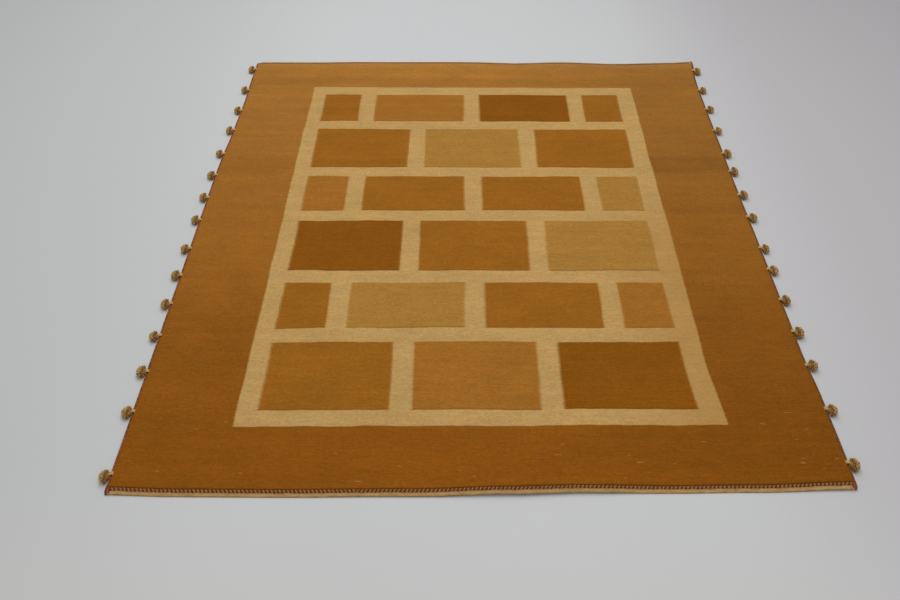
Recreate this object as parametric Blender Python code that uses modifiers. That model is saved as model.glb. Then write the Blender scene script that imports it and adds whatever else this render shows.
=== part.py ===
"""A hand-woven wool rug, lying flat, with a row of pompoms along each long side.

The cloth is one solid: the pile, and at each end a thin flat-woven hem. A twined chain lies on each hem
against the end of the pile, an overcast binding runs along each side, and fifteen pompoms are tied to each
binding. The origin is on the floor under the middle of the rug, +X is to its right, +Y to its far end.
"""

import math
import random

import bmesh
import bpy
from mathutils import Matrix, Vector

# Driving dimensions, in metres.
RUG_WIDTH = 1.700
RUG_LENGTH = 1.980
PILE_THICKNESS = 0.008
HEM_THICKNESS = 0.004
HEM_DEPTH = 0.017
BINDING_DIAMETER = 0.005
CHAIN_WIDTH = 0.0076
CHAIN_HEIGHT = 0.0044
POMPOM_REACH = 0.0142
POMPOM_HALF_LENGTH = 0.0183
POMPOM_RISE = 0.0130

# Clearance between pieces that touch.
SEAM_GAP = 0.0003

# How the cloth's ends run. Outward is past the nominal rectangle, and lift is off the floor.
# Columns: x, outward, lift.
FRONT_EDGE = (
    (-0.85, 0.0195, 0.0015),
    (-0.72, 0.0228, 0.0000),
    (-0.50, 0.0219, 0.0000),
    (-0.15, 0.0164, 0.0015),
    (0.06, 0.0103, 0.0070),
    (0.24, 0.0022, 0.0050),
    (0.40, 0.0003, 0.0000),
    (0.62, -0.0048, 0.0000),
    (0.85, -0.0142, 0.0035),
)
BACK_EDGE = (
    (-0.85, -0.0090, 0.0010),
    (-0.66, -0.0045, 0.0000),
    (-0.40, -0.0040, 0.0040),
    (0.00, 0.0020, 0.0040),
    (0.16, 0.0030, 0.0000),
    (0.34, 0.0085, 0.0035),
    (0.55, 0.0055, 0.0000),
    (0.74, 0.0105, 0.0030),
    (0.85, 0.0160, 0.0060),
)
# How its sides run. Columns: y, outward.
LEFT_EDGE = (
    (-0.99, 0.0036),
    (-0.35, 0.0032),
    (0.26, 0.0030),
    (0.54, -0.0068),
    (0.69, -0.0105),
    (0.83, -0.0083),
    (0.99, -0.0090),
)
RIGHT_EDGE = (
    (-0.99, 0.0040),
    (-0.86, 0.0055),
    (-0.71, 0.0034),
    (-0.57, -0.0032),
    (-0.10, -0.0058),
    (0.20, -0.0086),
    (0.69, -0.0084),
    (0.83, -0.0079),
    (0.99, 0.0033),
)

# Distance in from an end over which its waves die out.
LIFT_REACH = 0.17

# Radius that each corner is worn to.
CORNER_RADII = {
    ("left", "front"): 0.006,
    ("right", "front"): 0.007,
    ("left", "back"): 0.020,
    ("right", "back"): 0.006,
}

# Distance of the first pompom from the far end, then the spacing of the rest towards the near end.
LEFT_SPACING = (
    0.071, 0.156, 0.142, 0.129, 0.148, 0.122, 0.123, 0.114, 0.136, 0.120, 0.117, 0.123, 0.129, 0.132, 0.185,
)
RIGHT_SPACING = (
    0.055, 0.142, 0.135, 0.140, 0.143, 0.106, 0.130, 0.113, 0.149, 0.097, 0.128, 0.125, 0.123, 0.145, 0.163,
)

# The cloth's grid: columns across it, rows in a hem, near each end and along the middle.
COLUMNS = 28
HEM_ROWS = 3
END_ROWS = (0.035, 0.075, 0.120, 0.175)
MIDDLE_ROWS = 13
RIM_WIDTH = 0.005
RIM_SHARE = 0.75
STEP_WIDTH = 0.0015

# A pompom's head, whose faces its locks grow from. It stands off the rug, and its tie leads back to it.
HEAD_RADIUS = 0.0056
HEAD_SIDES = 6
HEAD_OFFSET = 0.0068
HEAD_FORWARD = 0.0070
HEAD_HEIGHT = 0.0098
SLIT = 0.00035
JITTER = 0.09

# The tie over the binding. Columns: distance out from the rug's edge, share of the way to the head.
TIE_WIDTH = 0.0074
TIE_HEIGHT = 0.0042
TIE_SECTIONS = (
    (0.0014, 0.45),
    (-0.0010, 0.10),
    (-0.0046, 0.00),
)

WOOL_BROWN = (0.36, 0.145, 0.022)
WOOL_CREAM = (0.52, 0.33, 0.135)
WOOL_RED = (0.25, 0.040, 0.022)
WOOL_BINDING = (0.42, 0.155, 0.075)


def clear_scene():
    for old in list(bpy.data.objects):
        bpy.data.objects.remove(old)


def make_collection():
    collection = bpy.data.collections.new("rug")
    bpy.context.scene.collection.children.link(collection)
    return collection


def wool(name, colour):
    material = bpy.data.materials.new(name)
    material.use_nodes = True
    shader = material.node_tree.nodes["Principled BSDF"]
    shader.inputs["Base Color"].default_value = (*colour, 1.0)
    shader.inputs["Roughness"].default_value = 0.92
    shader.inputs["Metallic"].default_value = 0.0
    return material


def add_object(name, data, material, collection):
    obj = bpy.data.objects.new(name, data)
    obj.data.materials.append(material)
    collection.objects.link(obj)
    return obj


def ease(share):
    share = min(max(share, 0.0), 1.0)
    return share * share * (3 - 2 * share)


def read_table(table, place, column):
    """The value of a column at a place, eased between the rows on either side."""
    if place <= table[0][0]:
        return table[0][column]
    for low, high in zip(table, table[1:]):
        if place <= high[0]:
            share = ease((place - low[0]) / (high[0] - low[0]))
            return low[column] + (high[column] - low[column]) * share
    return table[-1][column]


def side_sign(side):
    return -1 if side == "left" else 1


def corner_inset(side, y):
    """How far the side edge turns in at this y, where the corners are worn round."""
    inset = 0.0
    for end, distance in (("front", y + RUG_LENGTH / 2), ("back", RUG_LENGTH / 2 - y)):
        radius = CORNER_RADII[(side, end)]
        share = min(max(distance / radius, 0.0), 1.0)
        inset += 0.5 * radius * (1 - share) ** 2
    return inset


def cloth_x(side, y):
    """x of the cloth's own edge at this y, inside the binding."""
    table = LEFT_EDGE if side == "left" else RIGHT_EDGE
    outward = read_table(table, y, 1) - corner_inset(side, y) - BINDING_DIAMETER - SEAM_GAP
    return side_sign(side) * (RUG_WIDTH / 2 + outward)


def front_y(x):
    return -RUG_LENGTH / 2 - read_table(FRONT_EDGE, x, 1)


def back_y(x):
    return RUG_LENGTH / 2 + read_table(BACK_EDGE, x, 1)


def lift(x, y):
    """Height of the underside off the floor: the ends wave, and the waves die out inwards."""
    front = read_table(FRONT_EDGE, x, 2) * (1 - ease((y - front_y(x)) / LIFT_REACH))
    back = read_table(BACK_EDGE, x, 2) * (1 - ease((back_y(x) - y) / LIFT_REACH))
    return front + back


def place_on_cloth(across, along):
    """Point of the underside for a share across, 0 to 1, and a share along, 0 to 1."""
    nominal_y = (along - 0.5) * RUG_LENGTH
    left, right = cloth_x("left", nominal_y), cloth_x("right", nominal_y)
    x = left + (right - left) * across
    near, far = front_y(x), back_y(x)
    y = near + (far - near) * along
    return Vector((x, y, lift(x, y)))


def column_shares():
    rim = RIM_WIDTH / RUG_WIDTH
    inner = [rim + (1 - 2 * rim) * i / (COLUMNS - 1) for i in range(COLUMNS)]
    return [0.0, *inner, 1.0]


def row_shares():
    """Rows along the rug: each hem, the step up to the pile, the rows that follow its waves, the middle."""
    hem = [HEM_DEPTH * i / HEM_ROWS for i in range(HEM_ROWS + 1)]
    end = [*hem, HEM_DEPTH + STEP_WIDTH, *END_ROWS]
    pitch = (RUG_LENGTH - 2 * END_ROWS[-1]) / (MIDDLE_ROWS + 1)
    middle = [END_ROWS[-1] + pitch * (i + 1) for i in range(MIDDLE_ROWS)]
    back = [RUG_LENGTH - distance for distance in reversed(end)]
    return [distance / RUG_LENGTH for distance in (*end, *middle, *back)]


def make_cloth(material, collection):
    """The pile and both hems: a grid on the underside, thickened upwards by Solidify."""
    columns, rows = column_shares(), row_shares()
    mesh = bmesh.new()
    bmesh.ops.create_grid(mesh, x_segments=len(columns) - 1, y_segments=len(rows) - 1, size=1.0)
    thickness = mesh.verts.layers.deform.verify()
    for vertex in mesh.verts:
        column = round((vertex.co.x + 1) / 2 * (len(columns) - 1))
        row = round((vertex.co.y + 1) / 2 * (len(rows) - 1))
        share = 1.0
        if column in (0, len(columns) - 1):
            share = RIM_SHARE
        if min(row, len(rows) - 1 - row) <= HEM_ROWS:
            share = HEM_THICKNESS / PILE_THICKNESS
        vertex[thickness][0] = share
        vertex.co = place_on_cloth(columns[column], rows[row])
    data = bpy.data.meshes.new("cloth")
    mesh.to_mesh(data)
    mesh.free()
    cloth = add_object("cloth", data, material, collection)
    group = cloth.vertex_groups.new(name="thickness")
    solid = cloth.modifiers.new("thickness", "SOLIDIFY")
    solid.thickness = PILE_THICKNESS
    solid.offset = 1.0
    solid.vertex_group = group.name
    return cloth


def make_tube(name, points, diameter, material, collection):
    curve = bpy.data.curves.new(name, "CURVE")
    curve.dimensions = "3D"
    curve.bevel_depth = diameter / 2
    curve.bevel_resolution = 2
    curve.use_fill_caps = True
    spline = curve.splines.new("POLY")
    spline.points.add(len(points) - 1)
    for point, place in zip(spline.points, points):
        point.co = (*place, 1.0)
    return add_object(name, curve, material, collection)


def edge_line(side):
    """The underside's edge along one side, front to back."""
    across = 0.0 if side == "left" else 1.0
    return [place_on_cloth(across, along) for along in row_shares()]


def edge_point(side, y):
    """The point of that edge at this y."""
    line = edge_line(side)
    for low, high in zip(line, line[1:]):
        if y <= high.y:
            return low.lerp(high, (y - low.y) / (high.y - low.y))
    return line[-1]


def beside(points, distance, sign):
    """The points moved sideways to run at a distance beside their line, with mitred corners."""
    moved = []
    for i, point in enumerate(points):
        before = points[max(i - 1, 0)]
        after = points[min(i + 1, len(points) - 1)]
        normals = []
        for start, end in ((before, point), (point, after)):
            along = end - start
            if along.length > 0:
                normals.append(Vector((along.y, -along.x, 0)).normalized() * sign)
        middle = sum(normals, Vector()).normalized()
        moved.append(point + middle * distance / middle.dot(normals[0]))
    return moved


def make_binding(side, material, collection):
    """The overcast cord along one side. It lies on the floor against the cloth's edge."""
    radius = BINDING_DIAMETER / 2
    points = beside(edge_line(side), radius + SEAM_GAP, side_sign(side))
    for point in points:
        point.z += radius
    return make_tube(f"binding_{side}", points, BINDING_DIAMETER, material, collection)


def make_chain(end, material, collection):
    """The twined chain on one hem, wider than it is high, lying against the end of the pile."""
    inward = (HEM_DEPTH - SEAM_GAP - CHAIN_WIDTH / 2) / RUG_LENGTH
    along = inward if end == "front" else 1 - inward
    flatten = CHAIN_WIDTH / CHAIN_HEIGHT
    points = []
    for across in column_shares()[1:-1]:
        point = place_on_cloth(across, along)
        point.y /= flatten
        point.z += HEM_THICKNESS + SEAM_GAP + CHAIN_HEIGHT / 2
        points.append(point)
    chain = make_tube(f"chain_{end}", points, CHAIN_HEIGHT, material, collection)
    chain.scale.y = flatten
    return chain


def bearing(vertex):
    return math.atan2(vertex.co.y, vertex.co.x)


def make_head(mesh, turn, sign):
    """A ball with its poles in and out. Returns nine faces for the locks, and the inner one for the tie."""
    bmesh.ops.create_uvsphere(mesh, u_segments=HEAD_SIDES, v_segments=4, radius=HEAD_RADIUS)
    outer_pole = max(mesh.verts, key=lambda vertex: vertex.co.z)
    inner_pole = min(mesh.verts, key=lambda vertex: vertex.co.z)
    spokes = sorted(outer_pole.link_edges, key=lambda edge: bearing(edge.other_vert(outer_pole)))
    bmesh.ops.dissolve_edges(mesh, edges=spokes[::2])
    bmesh.ops.dissolve_verts(mesh, verts=[inner_pole])
    locks = [face for face in mesh.faces if face.calc_center_median().z > 0]
    inner_face = min(mesh.faces, key=lambda face: face.calc_center_median().z)
    outward = Matrix.Rotation(sign * math.pi / 2, 3, "Y") @ Matrix.Rotation(turn, 3, "Z")
    bmesh.ops.transform(mesh, matrix=outward.to_4x4(), verts=mesh.verts)
    return locks, inner_face


def lock_end(direction, size):
    """Where yarn that runs this way from the head ends: on the tuft's round outline or on the floor."""
    stretched = Vector((direction.x / size.x, direction.y / size.y, direction.z / size.z))
    length = 1 / stretched.length
    if direction.z < 0:
        length = min(length, HEAD_HEIGHT / -direction.z)
    return direction * length


def grow_locks(mesh, faces, size):
    """A four-sided lock on each face. Slits part the locks, and their ends make a rounded tuft."""
    bmesh.ops.inset_individual(mesh, faces=faces, thickness=SLIT)
    ends = bmesh.ops.extrude_discrete_faces(mesh, faces=faces)["faces"]
    for end in ends:
        for vertex in end.verts:
            vertex.co = lock_end(vertex.co.normalized(), size)
    for vertex in bmesh.ops.poke(mesh, faces=ends)["verts"]:
        vertex.co = lock_end(vertex.co.normalized(), size)


def grow_tie(mesh, face, knot, sign):
    """The tie, drawn out of the head's inner face and laid over the binding, where its knot is."""
    half = Vector((0, TIE_WIDTH / 2, TIE_HEIGHT / 2))
    start = face.calc_center_median()
    for outward, share in TIE_SECTIONS:
        centre = knot.lerp(start, share)
        centre.x = knot.x + sign * outward
        face = bmesh.ops.extrude_discrete_faces(mesh, faces=[face])["faces"][0]
        middle = face.calc_center_median()
        for vertex in face.verts:
            ray = vertex.co - middle
            ray.x = 0
            vertex.co = centre + ray.normalized() * half


def make_pompom(name, side, y, rng, material, collection):
    """A pompom tied to the binding at this y: its head, its nine locks and its tie, in one piece."""
    sign = side_sign(side)
    scatter = [1 + rng.uniform(-JITTER, JITTER) for _ in range(3)]
    size = Vector((POMPOM_REACH * scatter[0], POMPOM_HALF_LENGTH * scatter[1], POMPOM_RISE * scatter[2]))
    turn = rng.uniform(0, math.tau / HEAD_SIDES)
    forward = HEAD_FORWARD * rng.uniform(0.6, 1.4)

    cloth_edge = edge_point(side, y)
    edge = cloth_edge.x + sign * (SEAM_GAP + BINDING_DIAMETER)
    head = Vector((edge + sign * HEAD_OFFSET, y - forward, HEAD_HEIGHT))
    over_binding = cloth_edge.z + BINDING_DIAMETER + SEAM_GAP + TIE_HEIGHT / 2
    knot = Vector((edge, y, over_binding)) - head

    mesh = bmesh.new()
    locks, inner_face = make_head(mesh, turn, sign)
    grow_tie(mesh, inner_face, knot, sign)
    grow_locks(mesh, locks, size)
    data = bpy.data.meshes.new(name)
    mesh.to_mesh(data)
    mesh.free()
    pompom = add_object(name, data, material, collection)
    pompom.location = head
    return pompom


def make_pompoms(side, spacing, material, collection):
    rng = random.Random(f"pompoms {side}")
    y = RUG_LENGTH / 2
    for number, step in enumerate(spacing, start=1):
        y -= step
        make_pompom(f"pompom_{side}_{number:02d}", side, y, rng, material, collection)


def main():
    clear_scene()
    rug = make_collection()
    brown = wool("wool_brown", WOOL_BROWN)
    cream = wool("wool_cream", WOOL_CREAM)
    red = wool("wool_red", WOOL_RED)
    binding = wool("wool_binding", WOOL_BINDING)
    make_cloth(brown, rug)
    for side, spacing in (("left", LEFT_SPACING), ("right", RIGHT_SPACING)):
        make_binding(side, binding, rug)
        make_pompoms(side, spacing, cream, rug)
    for end in ("front", "back"):
        make_chain(end, red, rug)


main()
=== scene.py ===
"""The look of a hand-woven wool rug with pompoms along its sides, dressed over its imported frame."""

import math
import random

import bpy
import numpy as np
from mathutils import Matrix, Vector, noise
from mathutils.bvhtree import BVHTree


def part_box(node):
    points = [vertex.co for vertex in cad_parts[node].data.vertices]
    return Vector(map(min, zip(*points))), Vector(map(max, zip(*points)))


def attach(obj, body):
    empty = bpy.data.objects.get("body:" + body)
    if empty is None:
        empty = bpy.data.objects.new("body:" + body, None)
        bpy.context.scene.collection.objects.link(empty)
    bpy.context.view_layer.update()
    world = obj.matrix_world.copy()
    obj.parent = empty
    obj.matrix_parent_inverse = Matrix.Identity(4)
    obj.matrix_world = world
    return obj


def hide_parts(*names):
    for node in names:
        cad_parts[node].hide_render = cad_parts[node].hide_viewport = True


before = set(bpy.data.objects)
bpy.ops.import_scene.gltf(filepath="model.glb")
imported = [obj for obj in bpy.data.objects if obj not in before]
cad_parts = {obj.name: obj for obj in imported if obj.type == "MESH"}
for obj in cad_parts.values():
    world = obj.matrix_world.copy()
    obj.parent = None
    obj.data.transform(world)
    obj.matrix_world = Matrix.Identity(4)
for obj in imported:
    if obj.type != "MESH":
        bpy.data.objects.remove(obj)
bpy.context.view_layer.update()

# Camera, in metres and degrees. The lens is for Blender's 36 mm sensor.
CAMERA_PLACE = (-0.0713, -2.1492, 1.6853)
CAMERA_DOWN = 43.225
CAMERA_TURN = 0.258
CAMERA_ROLL = 0.387
CAMERA_LENS = 35.27

# Sizes of the cloth, in metres. Pile within the last one of the far end is darker.
PILE = 0.008
HEM = 0.004
HEM_DEPTH = 0.017
STEP = 0.0015
CELL = 0.010
FAR_ROWS = 0.0186

# How thick the cloth is near its edges. Columns: distance in from the edge, share of the thickness.
RIM_SHARES = (
    (0.0, 0.66),
    (0.0012, 0.82),
    (0.0026, 0.93),
    (0.0050, 1.0),
)
HEM_SHARES = (
    (0.0, 0.55),
    (0.0010, 0.90),
    (0.0026, 1.0),
)

# Rows of the mesh at each end: over the hem, up the step as shares of it, and on the pile.
HEM_ROWS = (0.0, 0.0010, 0.0026, 0.0070, 0.0120, 0.0169)
STEP_ROWS = (0.0, 0.35, 0.7, 1.0)
PILE_ROWS = (0.024, 0.032)

# How uneven the pile's top is, and how many waves a metre it has.
UNEVEN = 0.0005
UNEVEN_WAVES = 14

# Where the frame's outline is read. The ends are read between two x, and the sides closely at the corners.
ENDS_X = (-0.833, 0.838)
ENDS_READINGS = 240
CORNER_SPAN = (0.0004, 0.028)
CORNER_READINGS = 24
SIDE_FROM_CORNER = 0.038
SIDE_READINGS = 200
SIDE_PROBE = 0.832
END_PROBE = 0.968
EDGE_INSET = 0.0006

# Overcast binding and the twined chain, in metres and degrees.
BINDING_RADIUS = 0.0026
BINDING_GAP = 0.0003
WRAP_PITCH = 0.0024
WRAP_STEPS = 3
WRAP_SIDES = 8
WRAP_RELIEF = 0.00045
WRAP_SLANT = 0.0016
STITCH_PITCH = 0.0046
STITCH_HALF = (0.0058, 0.0023, 0.0019)
STITCH_FIT = {"front": 1.0, "back": 0.9}
STITCH_SLANT = 54
STITCH_SLANT_SPREAD = 7
STITCH_SHIFT = 0.0004
STITCH_SIZES = (0.88, 1.12)
STITCH_SHORTENING = 0.16
PALE_STITCH_WIDTH = 0.66
LEAN_CHANGE_X = -0.29
CHAIN_FROM_END = 0.0126
CHAIN_START = 0.005
CHAIN_MARGINS = 0.008

# Red stitches over the near corners, in metres and degrees. They lean one way and the other by turns.
CORNER_STITCHES = 6
CORNER_STITCH_HALF = (0.0052, 0.0011, 0.0010)
CORNER_STITCH_PITCH = 0.0024
CORNER_STITCH_RISE = 0.0012
CORNER_STITCH_LEANS = (-30, 38)
CORNER_STITCH_LEAN_SPREAD = 6
CORNER_FROM_SIDE = 0.0045
CORNER_FROM_END = 0.0035

# The yarns of a pompom, in metres and degrees. Radii and shares run from the root to the cut end.
YARNS = 230
YARN_SIDES = 5
YARN_RADII = (0.0007, 0.0010, 0.0012, 0.00125)
YARN_SHARES = (0.0, 0.45, 0.8, 1.0)
YARN_ROOT = 0.0025
YARN_BACK = 106
YARN_LENGTHS = (0.86, 1.04)
YARN_BEND = 0.0011
YARN_NUDGE = 0.05
YARN_TURN_NUDGE = 0.12
FLOOR_CLEARANCE = 0.0004

# Yarns that point back or down, and this share of the rest, take the darker tan: painted shade on the
# pompom's inner and lower side and in the gaps between yarns.
SHADE_OUTWARD = 0.10
SHADE_RISE = -0.30
SHADE_SHARE = 0.14

# A pompom's head, and the yarns that tie it over the binding, in metres.
HEAD_OFFSET = 0.0068
HEAD_HEIGHT = 0.0098
HEAD_FILL = 0.62
TIE_INNER = 0.0046
TIE_YARNS = 5
TIE_SIDES = 6
TIE_SPACING = 0.0017
TIE_RADII = (0.0009, 0.0011, 0.0012, 0.0012, 0.0012, 0.0012, 0.0010)
TIE_ARCH = 0.0010
TIE_WRAP_RADIUS = 0.0009
TIE_WRAP_STEPS = 12

# Pattern: the cream frame and the courses of blocks inside it, in metres from the rug's middle.
FRAME_OUTER = (-0.597, 0.584, -0.806, 0.795)
FRAME_INNER = (-0.547, 0.526, -0.756, 0.742)
FRAME_SLOPE = 0.014
FRAME_SLOPE_CHANGE = -0.005
FRAME_FLARE = 0.015
BAR_ACROSS = 0.055
BAR_ALONG = 0.052
TALL_SHARE = 0.187
LOW_SHARE = 0.1463

# Wool colours, as linear light.
CREAM = (0.490, 0.298, 0.100)
BLOCKS = {
    "brown": (0.300, 0.112, 0.0100),
    "dark": (0.235, 0.078, 0.0040),
    "olive": (0.372, 0.184, 0.0340),
    "bright": (0.340, 0.134, 0.0180),
}
CREAM_AT_RIGHT = (0.40, 0.19, 0.045)
CREAM_FLECK = (0.30, 0.15, 0.045)
# Painted shade along the lower edge of each block, where its pile leans over the cream and the tips lie in
# shadow.
BLOCK_EDGE_SHADE = (0.13, 0.048, 0.006)
FRAME_RIM = (0.26, 0.12, 0.022)
# A paler colour for a patchy band along the far end of the pile.
FAR_BAND = (0.42, 0.235, 0.085)
LINT = (0.52, 0.30, 0.12)
# The border is paler towards the far end: partly its dye, partly a painted sheen where the pile is seen at
# a grazing angle. Columns: y, colour.
BORDER = (
    (-0.90, (0.232, 0.074, 0.0045)),
    (-0.45, (0.254, 0.088, 0.0080)),
    (-0.22, (0.296, 0.110, 0.0125)),
    (0.50, (0.318, 0.130, 0.0210)),
    (0.98, (0.352, 0.150, 0.0260)),
)
# Wool of another dyeing makes bands across it. Columns: low y, high y, shade at the left, at the right.
BANDS = (
    (-0.60, -0.46, 0.98, 1.02),
    (0.03, 0.09, 0.98, 0.94),
    (0.25, 0.34, 0.95, 0.86),
    (0.80, 0.86, 0.92, 0.93),
)
# Courses from the near end to the far one. Offset courses start and end with a half block.
COURSES = (
    ("tall", "whole", ("brown", "bright", "dark")),
    ("low", "offset", ("brown", "olive", "brown", "bright")),
    ("tall", "whole", ("dark", "brown", "olive")),
    ("low", "offset", ("bright", "brown", "brown", "olive")),
    ("tall", "whole", ("brown", "olive", "brown")),
    ("low", "offset", ("brown", "bright", "dark", "brown")),
)

# The floor's half width in metres, the sky's light, and the lamps.
# Columns: name, place, width, length, power in watts.
FLOOR_HALF = 7.0
SKY_COLOUR = (0.97, 0.985, 1.0, 1.0)
SKY_STRENGTH = 0.42
LAMPS = (
    ("ceiling", (-0.20, 0.70, 3.3), 1.8, 4.8, 82),
    ("front", (0.0, -3.4, 3.0), 2.0, 2.0, 17),
)


def ease(share):
    share = min(max(share, 0.0), 1.0)
    return share * share * (3 - 2 * share)


class Cloth:
    """Where the frame's cloth lies: its outline, and how high its underside is."""

    def __init__(self, node):
        node.data.calc_loop_triangles()
        points = [vertex.co for vertex in node.data.vertices]
        triangles = [tuple(triangle.vertices) for triangle in node.data.loop_triangles]
        self.tree = BVHTree.FromPolygons(points, triangles)
        self.across = np.linspace(*ENDS_X, ENDS_READINGS)
        self.front = np.array([self.end_y(x, -1) for x in self.across])
        self.back = np.array([self.end_y(x, 1) for x in self.across])
        self.left = self.side_line(-1, self.front[0], self.back[0])
        self.right = self.side_line(1, self.front[-1], self.back[-1])
        self.length = float(np.mean(self.back - self.front))
        self.width = float(np.mean(self.right[1]) - np.mean(self.left[1]))

    def side_line(self, sign, near, far):
        """y and x of points along one side, close together at the corners."""
        first, last = CORNER_SPAN
        near_corner = np.linspace(near + first, near + last, CORNER_READINGS)
        middle = np.linspace(near + SIDE_FROM_CORNER, far - SIDE_FROM_CORNER, SIDE_READINGS)
        far_corner = np.linspace(far - last, far - first, CORNER_READINGS)
        along = np.concatenate((near_corner, middle, far_corner))
        return along, np.array([self.side_x(y, sign) for y in along])

    def underside(self, x, y):
        hit = self.tree.ray_cast(Vector((x, y, -1)), Vector((0, 0, 1)))[0]
        return hit.z if hit else 0.0

    def side_x(self, y, sign):
        height = self.underside(sign * SIDE_PROBE, y) + HEM / 2
        hit = self.tree.ray_cast(Vector((sign, y, height)), Vector((-sign, 0, 0)))[0]
        return hit.x

    def end_y(self, x, sign):
        height = self.underside(x, sign * END_PROBE) + HEM / 2
        hit = self.tree.ray_cast(Vector((x, sign * 1.1, height)), Vector((0, -sign, 0)))[0]
        return hit.y

    def place(self, across, along):
        """Point of the underside, for distances in metres from the left edge and the near end."""
        a, b = across / self.width, along / self.length
        x, y = (a - 0.5) * self.width, (b - 0.5) * self.length
        for _ in range(3):
            left = np.interp(y, *self.left)
            right = np.interp(y, *self.right)
            x = left + (right - left) * a
            front = np.interp(x, self.across, self.front)
            back = np.interp(x, self.across, self.back)
            y = front + (back - front) * b
        probe_x = x + EDGE_INSET * (1 - 2 * a)
        probe_y = y + EDGE_INSET * (1 - 2 * b)
        return Vector((x, y, self.underside(probe_x, probe_y)))


def steps(total, near, cell):
    """Distances from one edge to the other: the listed ones at both edges, and even cells between."""
    count = round((total - 2 * near[-1]) / cell)
    middle = [near[-1] + (total - 2 * near[-1]) * i / count for i in range(1, count)]
    return [*near, *middle, *(total - distance for distance in reversed(near))]


def share_at(table, distance):
    return float(np.interp(distance, [row[0] for row in table], [row[1] for row in table]))


def pile_height(across, along, cloth):
    """Thickness of the cloth here: the hems are thin, and the pile is rounded at its sides and ends."""
    from_side = min(across, cloth.width - across)
    from_end = min(along, cloth.length - along)
    if from_end <= HEM_DEPTH:
        return HEM * share_at(HEM_SHARES, from_end)
    rise = ease((from_end - HEM_DEPTH) / STEP)
    return HEM + (PILE * share_at(RIM_SHARES, from_side) - HEM) * rise


def mesh_object(name, points, faces, materials, slots=None, smooth=True):
    data = bpy.data.meshes.new(name)
    data.from_pydata(points, [], faces)
    for material in materials:
        data.materials.append(material)
    if slots is not None:
        data.polygons.foreach_set("material_index", slots)
    data.polygons.foreach_set("use_smooth", [smooth] * len(faces))
    data.update()
    obj = bpy.data.objects.new(name, data)
    bpy.context.scene.collection.objects.link(obj)
    return obj


def make_rug(cloth, materials):
    """The whole cloth: pile, hems and underside, as one closed sheet on the frame's own waves.

    The materials are for the pile, the hems, and the last rows of pile at the far end.
    """
    step_rows = [HEM_DEPTH + STEP * share for share in STEP_ROWS]
    rows = steps(cloth.length, [*HEM_ROWS, *step_rows, *PILE_ROWS], CELL)
    columns = steps(cloth.width, [distance for distance, _ in RIM_SHARES], CELL)
    under, over = [], []
    for along in rows:
        for across in columns:
            place = cloth.place(across, along)
            height = pile_height(across, along, cloth)
            if height > PILE * 0.9:
                wave = Vector((place.x * UNEVEN_WAVES, place.y * UNEVEN_WAVES, 0))
                height += UNEVEN * noise.noise(wave)
            under.append((place.x, place.y, place.z))
            over.append((place.x, place.y, place.z + height))
    wide, deep, count = len(columns), len(rows), len(under)
    faces, slots = [], []
    for row in range(deep - 1):
        middle = (rows[row] + rows[row + 1]) / 2
        slot = int(min(middle, cloth.length - middle) < HEM_DEPTH)
        if HEM_DEPTH < cloth.length - middle < FAR_ROWS:
            slot = 2
        for column in range(wide - 1):
            a = row * wide + column
            quad = (a, a + 1, a + wide + 1, a + wide)
            faces.append(tuple(count + index for index in quad))
            faces.append(tuple(reversed(quad)))
            slots += [slot] * 2
    ring = [*range(wide)]
    ring += [row * wide + wide - 1 for row in range(1, deep)]
    ring += [(deep - 1) * wide + column for column in range(wide - 2, -1, -1)]
    ring += [row * wide for row in range(deep - 2, 0, -1)]
    for here, after in zip(ring, ring[1:] + ring[:1]):
        faces.append((here, after, count + after, count + here))
        row = max(here, after) // wide
        middle = min(rows[row], cloth.length - rows[row])
        slots.append(int(middle <= HEM_DEPTH))
    return mesh_object("rug_sheet", under + over, faces, materials, slots)


def tube(path, radii, sides, turn=0.0, up=Vector((0, 0, 1))):
    """Points and faces of a closed tube along a path."""
    points, faces = [], []
    for i, (place, radius) in enumerate(zip(path, radii)):
        ahead = path[min(i + 1, len(path) - 1)] - path[max(i - 1, 0)]
        ahead.normalize()
        side = ahead.cross(up)
        if side.length < 0.05:
            side = ahead.cross(Vector((0, 1, 0)))
        side.normalize()
        top = side.cross(ahead)
        for j in range(sides):
            angle = turn + math.tau * j / sides
            points.append(place + (side * math.cos(angle) + top * math.sin(angle)) * radius)
    for i in range(len(path) - 1):
        for j in range(sides):
            k = (j + 1) % sides
            faces.append((i * sides + j, i * sides + k, (i + 1) * sides + k, (i + 1) * sides + j))
    faces.append(tuple(reversed(range(sides))))
    last = (len(path) - 1) * sides
    faces.append(tuple(range(last, last + sides)))
    return points, faces


class Joined:
    """Collects many small shapes into one mesh."""

    def __init__(self):
        self.points, self.faces, self.slots = [], [], []

    def add(self, points, faces, slot=0):
        start = len(self.points)
        self.points.extend(tuple(point) for point in points)
        self.faces.extend(tuple(start + index for index in face) for face in faces)
        self.slots.extend([slot] * len(faces))

    def build(self, name, materials):
        return mesh_object(name, self.points, self.faces, materials, self.slots)


def ball(half, turn, place, across=8, down=5):
    """Points and faces of a stretched ball, turned and placed."""
    points = [Vector((0, 0, 1))]
    for i in range(1, down):
        polar = math.pi * i / down
        radius, height = math.sin(polar), math.cos(polar)
        for j in range(across):
            angle = math.tau * j / across
            points.append(Vector((radius * math.cos(angle), radius * math.sin(angle), height)))
    points.append(Vector((0, 0, -1)))
    faces = [(0, 1 + j, 1 + (j + 1) % across) for j in range(across)]
    for i in range(down - 2):
        for j in range(across):
            k = (j + 1) % across
            upper, lower = 1 + i * across, 1 + (i + 1) * across
            faces.append((upper + j, lower + j, lower + k, upper + k))
    last, ring = len(points) - 1, 1 + (down - 2) * across
    faces += [(last, ring + (j + 1) % across, ring + j) for j in range(across)]
    half = Vector(half)
    placed = [turn @ (point * half) + place for point in points]
    return placed, faces


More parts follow.
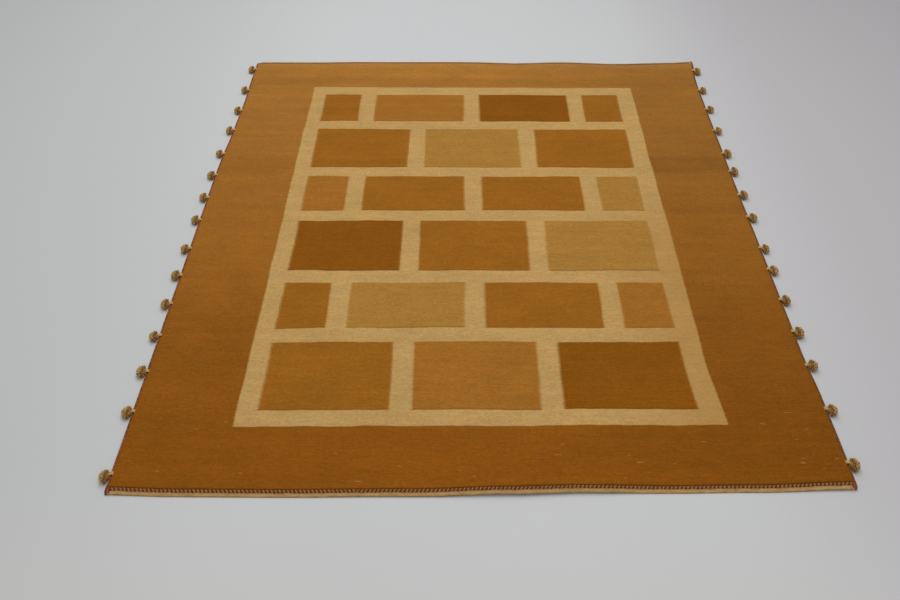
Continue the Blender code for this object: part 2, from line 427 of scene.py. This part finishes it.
def make_binding(side, cloth, wool):
    """The overcast side: slanted wraps of yarn round the edge cord."""
    sign = -1 if side == "left" else 1
    length = cloth.length
    rings = round(length / WRAP_PITCH) * WRAP_STEPS
    across = 0.0 if side == "left" else cloth.width
    centre = []
    for i in range(rings + 1):
        place = cloth.place(across, length * i / rings)
        centre.append(place + Vector((sign * (BINDING_RADIUS + BINDING_GAP), 0, BINDING_RADIUS)))
    points, faces = [], []
    for i, place in enumerate(centre):
        phase = math.tau * (i % WRAP_STEPS) / WRAP_STEPS
        radius = BINDING_RADIUS - WRAP_RELIEF * (0.5 - 0.5 * math.cos(phase))
        for j in range(WRAP_SIDES):
            angle = math.tau * j / WRAP_SIDES
            slant = WRAP_SLANT * math.sin(angle)
            offset = Vector((math.cos(angle) * radius, slant, math.sin(angle) * radius))
            points.append(tuple(place + offset))
    for i in range(rings):
        here, after = i * WRAP_SIDES, (i + 1) * WRAP_SIDES
        for j in range(WRAP_SIDES):
            k = (j + 1) % WRAP_SIDES
            faces.append((here + k, here + j, after + j, after + k))
    faces.append(tuple(range(WRAP_SIDES)))
    faces.append(tuple(reversed(range(rings * WRAP_SIDES, (rings + 1) * WRAP_SIDES))))
    binding = mesh_object(f"overcast_{side}", points, faces, [wool])
    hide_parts(f"binding_{side}")
    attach(binding, "root")
    return binding


def make_chain(end, cloth, dark, pale, rng):
    """Twined stitches along one hem, in two colours by turns, which change their lean part of the way."""
    joined = Joined()
    distance = CHAIN_FROM_END if end == "front" else cloth.length - CHAIN_FROM_END
    count = int((cloth.width - CHAIN_MARGINS) / STITCH_PITCH)
    for i in range(count):
        across = CHAIN_START + STITCH_PITCH * (i + 0.5)
        place = cloth.place(across, distance)
        is_dark = i % 2 == 0
        lean = STITCH_SLANT if place.x > LEAN_CHANGE_X else 180 - STITCH_SLANT
        lean = math.radians(lean + rng.uniform(-STITCH_SLANT_SPREAD, STITCH_SLANT_SPREAD))
        half = [size * rng.uniform(*STITCH_SIZES) * STITCH_FIT[end] for size in STITCH_HALF]
        half[0] *= 1.0 - STITCH_SHORTENING * ease(0.5 + place.x / 1.2)
        if not is_dark:
            half[1] *= PALE_STITCH_WIDTH
        place.z += HEM + STITCH_HALF[2] * (1.05 if is_dark else 0.9)
        place.y += rng.uniform(-STITCH_SHIFT, STITCH_SHIFT)
        points, faces = ball(half, Matrix.Rotation(lean, 3, "Z"), place)
        joined.add(points, faces, 0 if is_dark else 1)
    chain = joined.build(f"twining_{end}", [dark, pale])
    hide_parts(f"chain_{end}")
    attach(chain, "root")
    return chain


def yarn_directions(count, sign, rng):
    """Even directions from the head outwards and a little back, each one nudged."""
    lowest = math.cos(math.radians(YARN_BACK))
    for i in range(count):
        outward = 1 - (1 - lowest) * (i + 0.5) / count
        ring = math.sqrt(1 - outward**2)
        turn = i * math.pi * (3 - math.sqrt(5)) + rng.uniform(-YARN_TURN_NUDGE, YARN_TURN_NUDGE)
        direction = Vector((sign * outward, ring * math.cos(turn), ring * math.sin(turn)))
        nudge = Vector([rng.gauss(0, YARN_NUDGE) for _ in range(3)])
        yield (direction + nudge).normalized()


def add_yarns(joined, head, size, sign, rng):
    """Cut yarns from the head to its size, each one a little bent and clear of the floor."""
    lowest = FLOOR_CLEARANCE + YARN_RADII[-1]
    for direction in yarn_directions(YARNS, sign, rng):
        stretched = Vector((direction.x / size.x, direction.y / size.y, direction.z / size.z))
        length = rng.uniform(*YARN_LENGTHS) / stretched.length
        if direction.z < 0:
            length = min(length, (head.z - lowest) / -direction.z)
        bend = Vector([rng.gauss(0, YARN_BEND) for _ in range(3)])
        path = []
        for share in YARN_SHARES:
            reach = YARN_ROOT + (length - YARN_ROOT) * share
            place = head + direction * reach + bend * math.sin(math.pi * share)
            place.z = max(place.z, lowest)
            path.append(place)
        thick = rng.uniform(0.85, 1.15)
        outward = direction.x * sign
        # Painted shade: the inner, lower and some random yarns take the darker tan.
        is_dark = outward < SHADE_OUTWARD or direction.z < SHADE_RISE or rng.random() < SHADE_SHARE
        yarn = tube(path, [radius * thick for radius in YARN_RADII], YARN_SIDES, rng.uniform(0, 1))
        joined.add(*yarn, int(is_dark))


def add_tie(joined, head, edge, knot_y, knot_z, sign, rng):
    """Yarns side by side from the pile over the binding to the head, and one wrapped round them."""
    over = knot_z + 0.0012
    towards = head.y - knot_y
    half = (TIE_YARNS - 1) / 2
    for i in range(TIE_YARNS):
        shift = (i - half) * TIE_SPACING + rng.uniform(-0.0004, 0.0004)
        rise = TIE_ARCH * (1 - abs(i - half) / 2) + rng.uniform(0, 0.0004)
        y = knot_y + shift
        path = [
            Vector((edge - sign * 0.0085, y, knot_z - 0.0026)),
            Vector((edge - sign * 0.0078, y, over + rise * 0.4)),
            Vector((edge - sign * 0.0055, y, over + 0.0006 + rise)),
            Vector((edge - sign * 0.0015, y - 0.0002, over + 0.0004 + rise)),
            Vector((edge + sign * 0.0022, knot_y + towards * 0.3 + shift * 0.7, over)),
            Vector((edge + sign * 0.0055, knot_y + towards * 0.75 + shift * 0.5, head.z + 0.0006)),
            Vector((head.x, head.y + shift * 0.5, head.z)),
        ]
        joined.add(*tube(path, TIE_RADII, TIE_SIDES))
    centre = Vector((edge + sign * 0.0030, knot_y + towards * 0.42, over - 0.0002))
    wrap = []
    for i in range(TIE_WRAP_STEPS + 1):
        angle = math.tau * i / TIE_WRAP_STEPS
        wrap.append(centre + Vector((0, math.cos(angle) * 0.0044, math.sin(angle) * 0.0024)))
    joined.add(*tube(wrap, [TIE_WRAP_RADIUS] * len(wrap), TIE_SIDES, up=Vector((1, 0, 0))))


def make_pompom(node, side, wools, rng):
    """Cut yarn round a head, and the yarns that tie it over the binding. The wools are the tan and its
    darker copy, painted shade for the core and the inner, lower yarns.
    """
    sign = -1 if side == "left" else 1
    low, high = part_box(node)
    inner, outer = (high.x, low.x) if side == "left" else (low.x, high.x)
    edge = inner + sign * TIE_INNER
    head = Vector((edge + sign * HEAD_OFFSET, (low.y + high.y) / 2, HEAD_HEIGHT))
    points = [vertex.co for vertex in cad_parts[node].data.vertices]
    knot = [point for point in points if abs(point.x - inner) < 0.0005]
    knot_y = sum(point.y for point in knot) / len(knot)
    knot_z = sum(point.z for point in knot) / len(knot)
    size = Vector((abs(outer - head.x) + 0.0008, (high.y - low.y) / 2 + 0.0006, high.z - head.z + 0.0008))

    joined = Joined()
    core = head + Vector((sign * 0.001, 0, -0.0006))
    # The core is in the darker tan: painted shade deep between the yarns.
    joined.add(*ball(size * HEAD_FILL, Matrix.Identity(3), core, 10, 7), 1)
    add_yarns(joined, head, size, sign, rng)
    add_tie(joined, head, edge, knot_y, knot_z, sign, rng)
    tuft = joined.build(node.replace("pompom", "tuft"), wools)
    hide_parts(node)
    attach(tuft, "root")
    return tuft


class Nodes:
    """Short calls for building one material's nodes."""

    def __init__(self, name, roughness, sheen=0.0):
        self.material = bpy.data.materials.new(name)
        self.material.use_nodes = True
        self.tree = self.material.node_tree
        self.shader = self.tree.nodes["Principled BSDF"]
        self.shader.inputs["Roughness"].default_value = roughness
        self.shader.inputs["Specular IOR Level"].default_value = 0.04
        self.shader.inputs["Sheen Weight"].default_value = sheen
        self.shader.inputs["Sheen Roughness"].default_value = 0.5
        self.place = self.add("ShaderNodeTexCoord").outputs["Object"]

    def add(self, kind, **settings):
        node = self.tree.nodes.new(kind)
        for key, value in settings.items():
            setattr(node, key, value)
        return node

    def feed(self, socket, value):
        if isinstance(value, bpy.types.NodeSocket):
            self.tree.links.new(value, socket)
        else:
            socket.default_value = value

    def maths(self, operation, first, second=0.0, third=0.0):
        node = self.add("ShaderNodeMath", operation=operation)
        for socket, value in zip(node.inputs, (first, second, third)):
            self.feed(socket, value)
        return node.outputs[0]

    def scaled(self, x, y, z=1.0, place=None):
        node = self.add("ShaderNodeVectorMath", operation="MULTIPLY")
        self.feed(node.inputs[0], place or self.place)
        node.inputs[1].default_value = (x, y, z)
        return node.outputs[0]

    def noise(self, x, y, z=None, detail=2.0, roughness=0.5, place=None):
        """Smooth noise from 0 to 1 with so many features a metre along each axis."""
        node = self.add("ShaderNodeTexNoise")
        self.feed(node.inputs["Vector"], self.scaled(x, y, x if z is None else z, place))
        node.inputs["Scale"].default_value = 1.0
        node.inputs["Detail"].default_value = detail
        node.inputs["Roughness"].default_value = roughness
        return node.outputs["Fac"]

    def fit(self, value, low, high, to_low=0.0, to_high=1.0, smooth=False):
        node = self.add("ShaderNodeMapRange")
        if smooth:
            node.interpolation_type = "SMOOTHSTEP"
        node.inputs["From Min"].default_value = low
        node.inputs["From Max"].default_value = high
        node.inputs["To Min"].default_value = to_low
        node.inputs["To Max"].default_value = to_high
        self.feed(node.inputs["Value"], value)
        return node.outputs["Result"]

    def inside(self, value, low, high, soft):
        """1 between low and high and 0 outside, over a soft edge."""
        rise = self.fit(value, low - soft, low + soft, smooth=True)
        fall = self.fit(value, high - soft, high + soft, 1.0, 0.0, smooth=True)
        return self.maths("MULTIPLY", rise, fall)

    def mix(self, share, first, second, blend="MIX"):
        node = self.add("ShaderNodeMix", data_type="RGBA", blend_type=blend)
        self.feed(node.inputs["Factor"], share)
        sockets = [socket for socket in node.inputs if socket.type == "RGBA"]
        for socket, value in zip(sockets, (first, second)):
            self.feed(socket, value if isinstance(value, bpy.types.NodeSocket) else (*value, 1.0))
        return [output for output in node.outputs if output.type == "RGBA"][0]

    def ramp(self, value, stops):
        """A colour ramp. Columns of the stops: place, colour, alpha."""
        node = self.add("ShaderNodeValToRGB")
        ramp = node.color_ramp
        while len(ramp.elements) < len(stops):
            ramp.elements.new(0.5)
        for element, (place, colour, alpha) in zip(ramp.elements, stops):
            element.position = place
            element.color = (*colour, alpha)
        self.feed(node.inputs["Fac"], value)
        return node.outputs["Color"], node.outputs["Alpha"]

    def grey(self, value):
        node = self.add("ShaderNodeCombineColor")
        for socket in node.inputs[:3]:
            self.feed(socket, value)
        return node.outputs[0]

    def shade(self, colour, factor):
        return self.mix(1.0, colour, self.grey(factor), "MULTIPLY")

    def bump(self, height, distance, strength):
        node = self.add("ShaderNodeBump")
        node.inputs["Strength"].default_value = strength
        node.inputs["Distance"].default_value = distance
        self.feed(node.inputs["Height"], height)
        return node.outputs["Normal"]

    def finish(self, colour, normal=None):
        self.feed(self.shader.inputs["Base Color"], colour)
        if normal is not None:
            self.feed(self.shader.inputs["Normal"], normal)
        return self.material


def course_heights():
    """Low and high y of each course, near to far, with even bars between."""
    low, high = FRAME_INNER[2], FRAME_INNER[3]
    blocks = high - low - BAR_ALONG * (len(COURSES) - 1)
    shares = [TALL_SHARE if kind == "tall" else LOW_SHARE for kind, _, _ in COURSES]
    y = low
    for share in shares:
        height = blocks * share / sum(shares)
        yield y, y + height
        y += height + BAR_ALONG


def course_blocks(bond, names):
    """Low x, high x and colour of each block in a course."""
    low, high = FRAME_INNER[0], FRAME_INNER[1]
    whole = (high - low - 2 * BAR_ACROSS) / 3
    x = low
    for i, name in enumerate(names):
        width = whole
        if bond == "offset" and i in (0, len(names) - 1):
            width = (high - low - 3 * BAR_ACROSS - 2 * whole) / 2
        yield x, x + width, BLOCKS[name]
        x += width + BAR_ACROSS


def field_material():
    """Knotted wool pile: a brown border, a cream frame and bars, and blocks in four browns."""
    n = Nodes("wool_field", roughness=0.95, sheen=0.02)
    split = n.add("ShaderNodeSeparateXYZ")
    n.feed(split.inputs[0], n.place)
    x, y = split.outputs["X"], split.outputs["Y"]

    drift = n.fit(n.noise(5, 5, detail=2), 0.25, 0.75, -0.0030, 0.0030)
    waver = n.fit(n.noise(24, 24, detail=2), 0.25, 0.75, -0.0012, 0.0012)
    ragged = n.fit(n.noise(110, 420, detail=2), 0.25, 0.75, -0.0022, 0.0022)
    drift_x = n.fit(n.noise(9, 5, 3, detail=2, place=n.scaled(-1, 1)), 0.25, 0.75, -0.0030, 0.0030)
    slope = n.maths("MULTIPLY_ADD", y, FRAME_SLOPE_CHANGE, FRAME_SLOPE)
    level_y = n.maths("SUBTRACT", y, n.maths("MULTIPLY", x, slope))
    flare = n.maths("MULTIPLY", n.fit(y, -0.55, -0.82, smooth=True), n.fit(x, 0.30, 0.60, smooth=True))
    flared_x = n.maths("SUBTRACT", x, n.maths("MULTIPLY", flare, FRAME_FLARE))
    pattern_x = n.maths("ADD", flared_x, n.maths("ADD", ragged, drift_x))
    pattern_y = n.maths("ADD", level_y, n.maths("ADD", drift, waver))

    left, right, near, far = FRAME_OUTER
    in_width = n.inside(pattern_x, left, right, 0.0026)
    in_length = n.inside(pattern_y, near, far, 0.0018)
    in_frame = n.maths("MULTIPLY", in_width, in_length)
    span = n.fit(pattern_x, left, right)
    soft = 0.0028 / (right - left)
    tinted = CREAM
    block_mask = 0.0
    low_edge_shade = 0.0
    for (low, high), (_, bond, names) in zip(course_heights(), COURSES):
        stops = []
        for start, end, colour in course_blocks(bond, names):
            start = (start - left) / (right - left)
            end = (end - left) / (right - left)
            stops += [(start - soft, CREAM, 0.0), (start + soft, colour, 1.0)]
            stops += [(end - soft, colour, 1.0), (end + soft, CREAM, 0.0)]
        colour, alpha = n.ramp(span, stops)
        band = n.inside(pattern_y, low, high, 0.0016)
        tinted = n.mix(band, tinted, colour)
        block_mask = n.maths("MULTIPLY_ADD", band, alpha, block_mask)
        # Painted shade: a dark line along the block's lower edge.
        edge_shade = n.maths("MULTIPLY", n.inside(pattern_y, low - 0.001, low + 0.0045, 0.0014), alpha)
        low_edge_shade = n.maths("ADD", low_edge_shade, edge_shade)

    band_y = n.maths("MULTIPLY_ADD", drift, 2.0, level_y)
    # Paler towards the far end: the dye, and a painted sheen where the far end is seen at a grazing angle.
    border_stops = [((row_y + 1) / 2, wool_tone, 1.0) for row_y, wool_tone in BORDER]
    border, _ = n.ramp(n.fit(band_y, -1.0, 1.0), border_stops)
    # Painted light: the border is made lighter at the left and darker at the right, as the light falls
    # across the rug.
    border = n.shade(border, n.fit(x, -0.80, 0.80, 1.05, 0.94, smooth=True))
    for low, high, left_shade, right_shade in BANDS:
        band_shade = n.fit(x, -0.75, 0.75, left_shade, right_shade, smooth=True)
        border = n.mix(n.inside(band_y, low, high, 0.014), border, n.shade(border, band_shade))
    middle = n.maths("MULTIPLY", n.inside(x, -0.42, 0.42, 0.30), 0.11)
    border = n.shade(border, n.maths("ADD", middle, 1.0))
    base = n.mix(in_frame, border, tinted)

    band_noise = n.fit(n.noise(1.5, 28, detail=4, roughness=0.7), 0.3, 0.7, 0.94, 1.06)
    cloud = n.fit(n.noise(7, 9, detail=4, roughness=0.6), 0.3, 0.7, 0.94, 1.06)
    streak = n.fit(n.noise(40, 170, detail=3, roughness=0.8), 0.32, 0.68, 0.90, 1.10)
    knots = n.fit(n.noise(120, 210, detail=3, roughness=0.9), 0.34, 0.66, 0.84, 1.16)
    broad = n.maths("MULTIPLY", band_noise, cloud)
    fine = n.maths("MULTIPLY", streak, knots)
    colour = n.shade(base, n.maths("MULTIPLY", broad, fine))
    hue = n.noise(90, 160, detail=4, roughness=0.8, place=n.scaled(1, -1))
    warm, _ = n.ramp(hue, [(0.32, (0.55, 0.47, 0.40), 1.0), (0.68, (0.45, 0.53, 0.62), 1.0)])
    colour = n.mix(1.0, n.mix(1.0, colour, warm, "MULTIPLY"), (2.0, 2.0, 2.0), "MULTIPLY")

    is_cream = n.maths("SUBTRACT", in_frame, n.maths("MULTIPLY", block_mask, in_frame))
    tan_side = n.maths("MULTIPLY", n.fit(x, 0.30, 0.60, smooth=True), n.fit(y, 0.30, -0.20, smooth=True))
    tan_share = n.maths("MULTIPLY", n.maths("MULTIPLY", tan_side, is_cream), 0.5)
    colour = n.mix(tan_share, colour, CREAM_AT_RIGHT)
    fleck = n.fit(n.noise(60, 380, detail=3, roughness=0.8), 0.58, 0.74, 0.0, 0.50)
    colour = n.mix(n.maths("MULTIPLY", fleck, is_cream), colour, CREAM_FLECK)
    # Painted shade along the blocks' lower edges.
    colour = n.mix(n.maths("MULTIPLY", low_edge_shade, 0.30), colour, BLOCK_EDGE_SHADE)
    rim = n.maths("MULTIPLY", in_frame, n.maths("SUBTRACT", 1.0, in_frame))
    colour = n.mix(n.maths("MULTIPLY", rim, 0.9), colour, FRAME_RIM)

    # A paler band in patches along the far end of the pile.
    far_band_y = n.maths("ADD", level_y, n.maths("MULTIPLY", drift, 1.5))
    far_band = n.fit(far_band_y, 0.930, 0.962, 0.0, 0.42, smooth=True)
    far_band_patches = n.fit(n.noise(10, 60, detail=3, roughness=0.7), 0.35, 0.65)
    colour = n.mix(n.maths("MULTIPLY", far_band, far_band_patches), colour, FAR_BAND)
    lint = n.fit(n.noise(30, 260, detail=1, place=n.scaled(1, 1, 5)), 0.765, 0.79)
    lint = n.maths("MULTIPLY", lint, n.maths("SUBTRACT", 1.0, in_frame))
    lint = n.maths("MULTIPLY", lint, n.fit(y, -0.62, -0.74, 0.15, 1.0))
    colour = n.mix(n.maths("MULTIPLY", lint, 0.6), colour, LINT)

    rows = n.noise(60, 300, detail=3, roughness=0.8)
    tips = n.noise(300, 340, detail=1)
    height = n.maths("ADD", n.maths("MULTIPLY", rows, 0.8), n.maths("MULTIPLY", tips, 0.5))
    return n.finish(colour, n.bump(height, 0.0022, 0.6))


def hem_material():
    """Flat weave in undyed wool: thin ribs that run out to the edge."""
    n = Nodes("wool_hem", roughness=0.92, sheen=0.05)
    rib = n.noise(330, 90, detail=2)
    tone = n.fit(n.noise(50, 160, detail=4, roughness=0.8), 0.32, 0.68)
    colour = n.mix(tone, (0.30, 0.165, 0.055), (0.52, 0.315, 0.125))
    return n.finish(colour, n.bump(rib, 0.0012, 0.7))


def plain_wool(name, low, high, fineness=420):
    """Yarn of one dye: two close tones in fine, soft patches."""
    n = Nodes(name, roughness=0.93, sheen=0.10)
    tone = n.fit(n.noise(fineness, fineness, detail=2), 0.3, 0.7)
    colour = n.mix(tone, low, high)
    fibres = n.noise(1500, 1500, detail=1)
    return n.finish(colour, n.bump(fibres, 0.0003, 0.5))


def binding_material(side):
    """Overcasting yarn: salmon and red-brown by turns at the left, mostly olive-brown at the right."""
    n = Nodes(f"wool_overcast_{side}", roughness=0.93, sheen=0.05)
    turns = n.noise(30, 60, detail=3, roughness=0.65)
    if side == "left":
        stops = [
            (0.38, (0.130, 0.045, 0.016), 1.0),
            (0.47, (0.200, 0.066, 0.024), 1.0),
            (0.54, (0.360, 0.135, 0.060), 1.0),
            (0.62, (0.160, 0.032, 0.020), 1.0),
        ]
    else:
        stops = [
            (0.36, (0.110, 0.050, 0.012), 1.0),
            (0.50, (0.170, 0.080, 0.020), 1.0),
            (0.60, (0.230, 0.085, 0.034), 1.0),
            (0.68, (0.120, 0.030, 0.018), 1.0),
        ]
    wool_tone, _ = n.ramp(turns, stops)
    fine = n.fit(n.noise(500, 500, detail=1), 0.3, 0.7, 0.85, 1.15)
    return n.finish(n.shade(wool_tone, fine))


def make_corner_stitches(side, cloth, wool, rng):
    """Red yarn crossed over a near corner, where the side binding ends."""
    sign = -1 if side == "left" else 1
    joined = Joined()
    across = CORNER_FROM_SIDE if side == "left" else cloth.width - CORNER_FROM_SIDE
    for i in range(CORNER_STITCHES):
        along = CORNER_FROM_END + i * CORNER_STITCH_PITCH
        place = cloth.place(across, along)
        place.z += HEM + CORNER_STITCH_RISE
        spread = rng.uniform(-CORNER_STITCH_LEAN_SPREAD, CORNER_STITCH_LEAN_SPREAD)
        lean = math.radians(90 + sign * CORNER_STITCH_LEANS[i % 2] + spread)
        points, faces = ball(CORNER_STITCH_HALF, Matrix.Rotation(lean, 3, "Z"), place)
        joined.add(points, faces)
    stitches = joined.build(f"corner_stitches_{side}", [wool])
    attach(stitches, "root")
    return stitches


def make_floor():
    half = FLOOR_HALF
    corners = [(-half, -half, 0), (half, -half, 0), (half, half, 0), (-half, half, 0)]
    floor = mesh_object("floor", corners, [(0, 1, 2, 3)], [floor_material()], smooth=False)
    return floor


def floor_material():
    n = Nodes("floor_paint", roughness=0.7)
    split = n.add("ShaderNodeSeparateXYZ")
    n.feed(split.inputs[0], n.place)
    patch = n.fit(n.noise(0.9, 0.9, detail=3), 0.3, 0.7)
    colour = n.mix(patch, (0.575, 0.578, 0.580), (0.595, 0.595, 0.595))
    # Painted shade: the floor is made darker towards both sides, as the light falls off away from the
    # middle; at the right the darker colour is also lilac.
    lilac = n.fit(split.outputs["X"], 0.5, 1.2, smooth=True)
    colour = n.mix(lilac, colour, (0.520, 0.496, 0.508))
    dim = n.fit(split.outputs["X"], -0.5, -1.2, smooth=True)
    colour = n.mix(dim, colour, (0.545, 0.545, 0.545))
    warm = n.fit(split.outputs["Y"], -0.9, -1.4, 0.0, 0.5, smooth=True)
    colour = n.mix(warm, colour, (0.600, 0.585, 0.560))
    return n.finish(colour)


def make_lights():
    world = bpy.data.worlds.new("studio")
    bpy.context.scene.world = world
    world.use_nodes = True
    sky = world.node_tree.nodes["Background"]
    sky.inputs["Color"].default_value = SKY_COLOUR
    sky.inputs["Strength"].default_value = SKY_STRENGTH
    for name, place, width, length, power in LAMPS:
        light = bpy.data.lights.new(name, "AREA")
        light.shape = "RECTANGLE"
        light.size = width
        light.size_y = length
        light.energy = power
        lamp = bpy.data.objects.new(name, light)
        lamp.location = place
        lamp.rotation_euler = (-Vector(place)).to_track_quat("-Z", "Y").to_euler()
        bpy.context.scene.collection.objects.link(lamp)


def make_camera():
    data = bpy.data.cameras.new("camera")
    data.lens = CAMERA_LENS
    data.sensor_width = 36.0
    camera = bpy.data.objects.new("camera", data)
    turn = Matrix.Rotation(math.radians(CAMERA_TURN), 4, "Z")
    tilt = Matrix.Rotation(math.radians(90 - CAMERA_DOWN), 4, "X")
    roll = Matrix.Rotation(math.radians(CAMERA_ROLL), 4, "Z")
    camera.matrix_world = Matrix.Translation(CAMERA_PLACE) @ turn @ tilt @ roll
    bpy.context.scene.collection.objects.link(camera)
    bpy.context.scene.camera = camera


def main():
    rng = random.Random(11)
    scene = bpy.context.scene
    scene.view_settings.view_transform = "Standard"
    make_camera()
    make_lights()
    make_floor()

    cloth = Cloth(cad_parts["cloth"])
    far_pile = plain_wool("wool_far_pile", (0.110, 0.060, 0.020), (0.270, 0.145, 0.046), 70)
    rug = make_rug(cloth, [field_material(), hem_material(), far_pile])
    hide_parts("cloth")
    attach(rug, "root")

    dark = plain_wool("wool_dark_red", (0.095, 0.024, 0.008), (0.170, 0.046, 0.013))
    pale = plain_wool("wool_salmon", (0.32, 0.140, 0.045), (0.44, 0.210, 0.075))
    red = plain_wool("wool_crimson", (0.210, 0.024, 0.020), (0.300, 0.044, 0.032))
    tan = plain_wool("wool_tan", (0.44, 0.265, 0.088), (0.66, 0.430, 0.170), 300)
    # A darker copy of the tan: painted shade for the pompoms' core and inner, lower yarns.
    shaded_tan = plain_wool("wool_tan_shade", (0.230, 0.110, 0.026), (0.400, 0.215, 0.062), 300)
    for side in ("left", "right"):
        make_binding(side, cloth, binding_material(side))
        make_corner_stitches(side, cloth, red, rng)
    for end in ("front", "back"):
        make_chain(end, cloth, dark, pale, rng)
    for side in ("left", "right"):
        for node in sorted(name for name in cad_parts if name.startswith(f"pompom_{side}")):
            make_pompom(node, side, [tan, shaded_tan], rng)


main()
